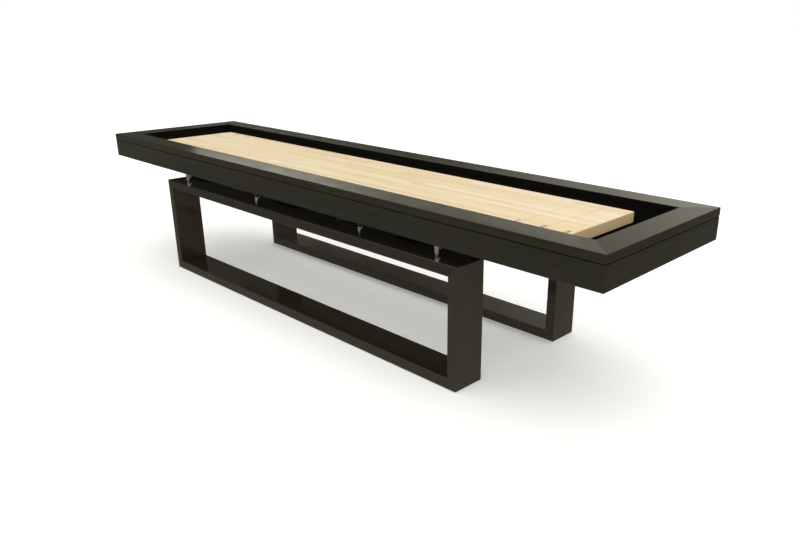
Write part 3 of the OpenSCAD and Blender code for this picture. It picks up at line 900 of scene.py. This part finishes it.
@dataclass
class GutterCarpet:
    """One strip of carpet on a gutter's floor and up its wall, as for the front side. Sizes in mm."""

    side: str
    turn: float
    wall_y: float
    floor_from: float
    floor_half: float
    wall_half: float
    floor_z: float = 669.0
    top_z: float = 758.0
    thick: float = 3.0
    step: float = 4.5
    nap: float = 0.7
    first_seed: int = 7

    def build(self) -> None:
        along, face, back = self.section()
        draws = np.random.default_rng(int(self.turn) + self.first_seed)
        pile = self.nap * draws.random((len(along), len(face)))
        pile[:, [0, -1]] = 0
        pile[[0, -1]] = 0
        inward = (back - face) / np.linalg.norm(back - face, axis=1, keepdims=True)
        front = self.sweep(along, face)
        front[..., 1:] += pile[..., None] * inward
        points, faces = self.closed(front, self.sweep(along, back))
        name = f"gutter_carpet_{self.side}"
        around = Matrix.Rotation(math.radians(self.turn), 4, "Z")
        points, faces = placed((points, faces), (0, 0, 0), around)
        made = piece(name, points * MM, faces)
        dress(made, LoopCarpet("loop_carpet"))
        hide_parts(f"gutter_liner_{self.side}")
        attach(made, "root")

    def section(self) -> tuple[np.ndarray, np.ndarray, np.ndarray]:
        """The strip's face and back, as two lines across the gutter and up its wall.

        The face follows the floor to the corner and then the wall. The back is the same line moved
        out by the carpet's thickness, square to each part.

        Returns:
            Shares along the strip from -1 to 1, the face's points (y, z), and the back's.
        """
        floor_n = round((self.wall_y - self.floor_from) / self.step)
        wall_n = round((self.top_z - self.floor_z - self.thick) / self.step)
        along_n = round(2 * max(self.floor_half, self.wall_half) / self.step)
        floor_y = np.linspace(-self.floor_from, -self.wall_y, floor_n)
        wall_z = np.linspace(self.floor_z + self.thick, self.top_z, wall_n)[1:]
        face = np.vstack([np.stack([floor_y, np.full(floor_n, self.floor_z + self.thick)], 1),
                          np.stack([np.full(wall_n - 1, -self.wall_y), wall_z], 1)])
        back = face + np.vstack([np.tile([0, -self.thick], (floor_n - 1, 1)), [[-self.thick, -self.thick]],
                                 np.tile([-self.thick, 0], (wall_n - 1, 1))])
        return np.linspace(-1, 1, along_n), face, back

    def sweep(self, along: np.ndarray, line: np.ndarray) -> np.ndarray:
        """Carries a line along the gutter: x is the share along times that point's half-length.

        Args:
            along: shares along the strip, from -1 to 1.
            line: the line's points as rows of y and z.

        Returns:
            A grid of points, along by across.
        """
        half = np.where(line[:, 1] > self.floor_z + self.thick + 0.01, self.wall_half, self.floor_half)
        x = along[:, None] * half[None, :]
        rest = np.broadcast_to(line, (len(along), *line.shape))
        return np.concatenate([x[..., None], rest], axis=-1)

    @staticmethod
    def closed(front: np.ndarray, back: np.ndarray) -> Shell:
        """Joins two grids round their borders: a row of the front, its end, and the back again.

        Args:
            front: the face's grid of points.
            back: the back's grid, with as many rows and columns.

        Returns:
            The points, and the faces of the closed shell.
        """
        rows, columns = front.shape[:2]
        loop = np.concatenate([front, back[:, ::-1]], axis=1)
        faces = [quads(rows, 2 * columns, wrap=True)]
        number = np.arange(rows * 2 * columns).reshape(rows, 2 * columns)
        for row in (0, -1):
            top, under = number[row, :columns], number[row, columns:][::-1]
            faces.append(np.stack([top[:-1], top[1:], under[1:], under[:-1]], axis=1))
        return loop.reshape(-1, 3), np.concatenate(faces)


@dataclass
class Hardware:
    """Standoffs, bolts, climatic adjusters and the screws that show from below. Sizes in mm."""

    hoop_top: float = 583.0
    standoff_h: float = 68.0
    standoff_r: float = 15.0
    bore_r: float = 5.25
    standoffs: tuple[tuple[float, float], ...] = ((-1066, -401), (1066, -401), (-453, -313), (453, -313))
    adjusters: tuple[float, ...] = (-1057.33, 0.0, 1057.33)
    adjuster_z: float = 683.0
    rod_r: float = 6.0
    rod_from: float = 15.0
    rod_to: float = 150.0
    beams: tuple[float, ...] = (-1586.0, -528.67, 528.67, 1586.0)
    field_bottom: float = 713.0
    screw_r: float = 2.5
    head_r: float = 4.5
    head_h: float = 3.0
    chamfer: float = 1.0
    beam_hole: float = 31.0
    beam_screw_y: float = 120.0
    field_bite: float = 25.0
    bracket_t: float = 5.0
    bracket_bite: float = 18.0
    bracket_screw: tuple[float, float] = (20.0, 160.0)

    chrome = BareMetal("chrome_plate", "#e2e2e0", "#c9c9c7", (0.14, 0.2), 30.0, 0.05)
    zinc = BareMetal("zinc_plate", "#c4c5c0", "#96958c", (0.28, 0.42), 8.0, 0.3)
    rolled = BareMetal("rolled_steel", "#74777a", "#4d4e4f", (0.38, 0.55), 18.0, 0.5, Grain.ALONG)
    oxide = BareMetal("black_oxide", "#2c2c2d", "#1b1a19", (0.35, 0.5), 6.0, 0.3)
    brass = BareMetal("brass", "#c9a85a", "#8e7336", (0.22, 0.4), 9.0, 0.4)

    def dress(self) -> None:
        """Gives the CAD metalwork its metals."""
        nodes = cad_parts
        for name, finish in {"rail_screws": self.zinc, "adjuster_brackets": self.rolled,
                             "adjuster_nuts": self.zinc, "standoff_bolts": self.oxide,
                             "standoff_inserts": self.brass, "leveller_inserts": self.brass}.items():
            dress(nodes[name], finish)
        for number in range(1, 4):
            dress(nodes[f"adjuster_turnbuckle_{number}"], self.brass)
        log.info("metalwork dressed")

    def turn_standoffs(self) -> None:
        """Turns each hoop's four tubes, chamfered at both ends and bored for their bolts."""
        r, h, c = self.standoff_r, self.standoff_h, self.chamfer
        lower = [(self.bore_r, 0), (r - c, 0), (r - c / 3, c / 3), (r, c), (r, h / 3)]
        outline = np.array(lower + [(x, h - z) for x, z in reversed(lower)])
        for hoop, turn in (("front", 0.0), ("back", math.pi)):
            around = Matrix.Rotation(turn, 4, "Z")
            tubes = [placed(placed(turned(outline, segments=96), (x, y, self.hoop_top)), (0, 0, 0), around)
                     for x, y in self.standoffs]
            self.fit(f"turned_standoffs_{hoop}", merged(tubes), self.chrome, "chrome", f"standoffs_{hoop}")

    def cut_rods(self) -> None:
        """Cuts the thread on the adjusters' rods, one each side of every turnbuckle."""
        rods = []
        for x in self.adjusters:
            for turn in (0.0, math.pi):
                rod = threaded(self.rod_r, depth=0.9, pitch=1.75, length=self.rod_to - self.rod_from,
                               tip=1.5, segments=28)
                upright = Matrix.Rotation(turn, 4, "Z") @ Matrix.Rotation(-math.pi / 2, 4, "X")
                start = np.array(Matrix.Rotation(turn, 3, "Z") @ Vector((0, self.rod_from, 0)))
                rods.append(placed(rod, start + (x, 0, self.adjuster_z), upright))
        self.fit("threaded_rods", merged(rods), self.zinc, "zinc_steel", "adjuster_rods")

    def drive_screws(self) -> None:
        """Makes the wood screws under the cross beams and through the brackets' feet."""
        heads = [(x, side * self.beam_screw_y, self.field_bottom - self.beam_hole)
                 for x in self.beams for side in (-1, 1)]
        self.screws("beam_wood_screws", heads, self.beam_hole + self.field_bite, "playfield_screws")
        along, across = self.bracket_screw
        heads = [(x + step * along, side * across, self.field_bottom - self.bracket_t)
                 for x in self.adjusters for step in (-1, 1) for side in (-1, 1)]
        self.screws("bracket_wood_screws", heads, self.bracket_t + self.bracket_bite, "bracket_screws")

    def screws(self, name: str, places: list[Place], length: float, node: str) -> None:
        """Makes one piece of several screws, each pointing up from its head.

        Args:
            name: the piece's name.
            places: where each head's underside is.
            length: the shank's length.
            node: the CAD node that it stands for.
        """
        head = cross_head(self.head_r, self.head_h, recess=1.9)
        shank = threaded(self.screw_r, depth=0.7, pitch=2.2, length=length, tip=6.0, segments=16, steps=5)
        self.fit(name, merged(placed(part, p) for p in places for part in (head, shank)), self.zinc,
                 "zinc_steel", node)

    @staticmethod
    def fit(name: str, part: Shell, finish: Finish, slot: str, node: str) -> None:
        """Makes a piece of the root body that stands for a CAD node.

        Args:
            name: the piece's name.
            part: its points, in mm, and faces.
            finish: its finish.
            slot: not used.
            node: the CAD node that it stands for.
        """
        made = piece(name, part[0] * MM, part[1])
        dress(made, finish)
        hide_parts(node)
        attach(made, "root")
        log.info("%s made, %d faces", name, len(made.data.polygons))


@dataclass
class HoopLegs:
    """The two hoop frames and the levelling feet under them."""

    # The top bar's darker tones are painted shade from the cabinet over it; the bottom bar and uprights take
    # the lighter brown.
    dark: tuple[str, str] = ("#1c1912", "#231f17")
    brown: tuple[str, str] = ("#272118", "#2e281e")
    gloss: tuple[float, float] = (0.07, 0.13)
    level: float = 0.5
    first_figure: float = 50.0
    figure_step: float = 2.3
    back_figure: float = 11.0

    def dress(self) -> None:
        """Gives the bars and uprights their lacquer, the top bar's darker as painted shade, and the feet
        their nylon and zinc.
        """
        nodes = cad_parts
        parts = {"top_bar": (Grain.ALONG, self.dark), "bottom_bar": (Grain.ALONG, self.brown),
                 "left_upright": (Grain.UPRIGHT, self.brown), "right_upright": (Grain.UPRIGHT, self.brown)}
        for hoop in ("front", "back"):
            for number, (part, (grain, tones)) in enumerate(parts.items()):
                figure = self.first_figure + number * self.figure_step + (hoop == "back") * self.back_figure
                dress(nodes[f"hoop_{hoop}_{part}"],
                      StainedTimber(f"hoop_lacquer_{hoop}_{part}", grain, *tones, self.gloss, self.level,
                                    figure))
        for corner in ("front_left", "front_right", "back_left", "back_right"):
            dress(nodes[f"leveller_pad_{corner}"], MouldedNylon("moulded_nylon"))
            dress(nodes[f"leveller_stem_{corner}"], Hardware.zinc)
        log.info("hoops and feet dressed")


# ---- Studio ----


@dataclass
class Studio:
    """A white lit floor in a warm, soft surround that is dim towards the table's far end."""

    floor_half: float = 60.0
    floor_tone: str = "#e7edf8"
    floor_glow: float = 0.25
    warmth: str = "#fdf8e6"
    far_end: float = 0.085
    near_end: float = 1.1
    overhead: float = 1.7
    below: tuple[float, float] = (0.18, 0.45)
    dim_to_full: tuple[float, float] = (-0.72, -0.2)
    climb: tuple[float, float] = (0.4, 0.85)
    horizon: float = 0.03
    fall: tuple[float, float] = (-0.2, -0.6)
    strip_fade: tuple[float, float] = (0.85, 0.25)

    def floor(self) -> None:
        """Lays one wide matt sheet of back-lit acrylic under the feet, which gloss doesn't mirror."""
        h = self.floor_half
        points = np.array([(-h, -h, 0), (h, -h, 0), (h, h, 0), (-h, h, 0)], float)
        made = piece("studio_floor", points, np.array([[0, 1, 2, 3]]), smooth=False)
        material = bpy.data.materials.new("lit_acrylic")
        tree = emptied(material)
        place = add(tree, "ShaderNodeTexCoord", out="Object")
        mottle = add(tree, "ShaderNodeTexNoise", {"Vector": place, "Scale": 40.0, "Detail": 2.0})
        bump = add(tree, "ShaderNodeBump", {"Height": mottle, "Strength": 0.05, "Distance": MM})
        sheet = add(tree, "ShaderNodeBsdfPrincipled", {"Base Color": linear(self.floor_tone),
                    "Roughness": 0.9, "Normal": bump, "Specular IOR Level": 0.1,
                    "Emission Color": linear("#ffffff"), "Emission Strength": self.floor_glow})
        add(tree, "ShaderNodeOutputMaterial", {"Surface": sheet})
        made.data.materials.append(material)
        made.visible_glossy = False

    def surround(self) -> None:
        """Lights the scene from all round, by each ray's direction, while the camera sees plain white.

        Near the horizon the radiance climbs from far_end to near_end as a smooth step over
        dim_to_full along X. It blends to overhead over climb. Under the horizon it grows between
        the two values of below over fall, as a pale floor would give back in a gloss.
        """
        world = bpy.data.worlds.new("studio_surround")
        tree = emptied(world)
        ray = add(tree, "ShaderNodeTexCoord", out="Generated")
        along, height = (add(tree, "ShaderNodeSeparateXYZ", {0: ray}, out=i) for i in (0, 2))
        side = add(tree, "ShaderNodeMapRange",
                   dict(enumerate([along, *self.dim_to_full, self.far_end, self.near_end])),
                   interpolation_type="SMOOTHSTEP")
        climb = add(tree, "ShaderNodeMapRange", dict(enumerate([height, *self.climb])),
                    interpolation_type="SMOOTHSTEP")
        above = add(tree, "ShaderNodeMix", {0: climb, 2: side, 3: self.overhead})
        horizon = add(tree, "ShaderNodeMapRange", {0: height, 1: -self.horizon, 2: self.horizon})
        under = add(tree, "ShaderNodeMapRange", dict(enumerate([height, *self.fall, *self.below])))
        light = add(tree, "ShaderNodeMix", {0: horizon, 2: under, 3: above})
        soft = add(tree, "ShaderNodeBackground", {"Color": linear(self.warmth), "Strength": light})
        white = add(tree, "ShaderNodeBackground", {"Color": linear("#ffffff"), "Strength": 1.0})
        seen = add(tree, "ShaderNodeLightPath", out="Is Camera Ray")
        light = add(tree, "ShaderNodeMixShader", {0: seen, 1: soft, 2: white})
        add(tree, "ShaderNodeOutputWorld", {"Surface": light})
        bpy.context.scene.world = world

    def softbox(self, name: str, at: Place, aim: Place,
                size: tuple[float, float], radiance: float, tilt: float = 0.0, fade: float = 1.0) -> None:
        """Hangs one rectangular softbox, which shows in gloss but not to the camera.

        Its power is its radiance times its area times pi. Along its length the radiance falls to
        fade times itself over strip_fade, as a smooth step.

        Args:
            name: the light's name.
            at: where it hangs, in metres.
            aim: the point that it faces.
            size: its two sides.
            radiance: how bright its face is.
            tilt: its turn in its own plane, in degrees.
            fade: the share of its radiance left at its far end.
        """
        lamp = bpy.data.lights.new(name, "AREA")
        lamp.shape = "RECTANGLE"
        lamp.size, lamp.size_y = size
        lamp.energy = radiance * math.pi * size[0] * size[1]
        lamp.color = linear(self.warmth)[:3]
        tree = emptied(lamp)
        face = add(tree, "ShaderNodeNewGeometry", out="Parametric")
        share = add(tree, "ShaderNodeSeparateXYZ", {0: face})
        glow = add(tree, "ShaderNodeMapRange", dict(enumerate([share, *self.strip_fade, 1.0, fade])),
                   interpolation_type="SMOOTHSTEP")
        add(tree, "ShaderNodeOutputLight", {"Surface": add(tree, "ShaderNodeEmission", {"Strength": glow})})
        made = linked(name, lamp)
        made.visible_camera = False
        made.location = at
        facing = (Vector(aim) - Vector(at)).to_track_quat("-Z", "Y")
        made.rotation_euler = (facing @ Quaternion((0, 0, 1), math.radians(tilt))).to_euler()


@dataclass
class Viewpoint:
    """The camera, a standing adult's eye off the near right corner."""

    at: Place = (3.1046, -2.5478, 1.5515)
    azimuth: float = -43.57
    pitch: float = 20.86
    roll: float = 0.21
    lens: float = 32.44
    shift: tuple[float, float] = (-0.0458, 0.0306)

    def set_up(self) -> None:
        """Makes the camera: forward from azimuth and pitch, right square to it and level, then rolled."""
        data = bpy.data.cameras.new("viewpoint")
        data.sensor_width = 36.0
        data.lens = self.lens
        data.shift_x, data.shift_y = self.shift
        data.clip_start, data.clip_end = 0.05, 200.0
        a, p = math.radians(self.azimuth), math.radians(self.pitch)
        forward = Vector((math.sin(a) * math.cos(p), math.cos(a) * math.cos(p), -math.sin(p)))
        right = Vector((math.cos(a), -math.sin(a), 0))
        axes = Matrix((right, right.cross(forward), -forward)).transposed()
        made = linked("viewpoint", data)
        made.matrix_world = (Matrix.Translation(self.at) @ axes.to_4x4()
                             @ Matrix.Rotation(math.radians(self.roll), 4, "Z"))
        bpy.context.scene.camera = made
        bpy.context.scene.view_settings.view_transform = "Standard"


def main() -> None:
    """Builds the sub-assemblies in order, then the studio."""
    logging.basicConfig(level=logging.INFO, format="%(name)s: %(message)s")
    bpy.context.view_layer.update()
    Cabinet().dress()
    playfield = Playfield()
    playfield.dress()
    playfield.numerals()
    for side, turn in (("front", 0), ("back", 180)):
        GutterCarpet(side, turn, wall_y=332, floor_from=224, floor_half=1605, wall_half=1793).build()
    for side, turn in (("right", 90), ("left", 270)):
        GutterCarpet(side, turn, wall_y=1790, floor_from=1605, floor_half=335, wall_half=332).build()
    hardware = Hardware()
    hardware.dress()
    hardware.turn_standoffs()
    hardware.cut_rods()
    hardware.drive_screws()
    HoopLegs().dress()
    studio = Studio()
    studio.floor()
    studio.surround()
    studio.softbox("overhead", at=(0.3, 0.2, 3.6), aim=(0.0, 0.0, 0.7), size=(6.0, 3.0), radiance=0.15)
    studio.softbox("low_side", at=(-37.6, 30.0, 11.9), aim=(-37.6, -0.4, 1.25), size=(40.4, 1.75),
                   radiance=2.2, tilt=3.9, fade=0.2)
    Viewpoint().set_up()


if __name__ == "__main__":
    main()
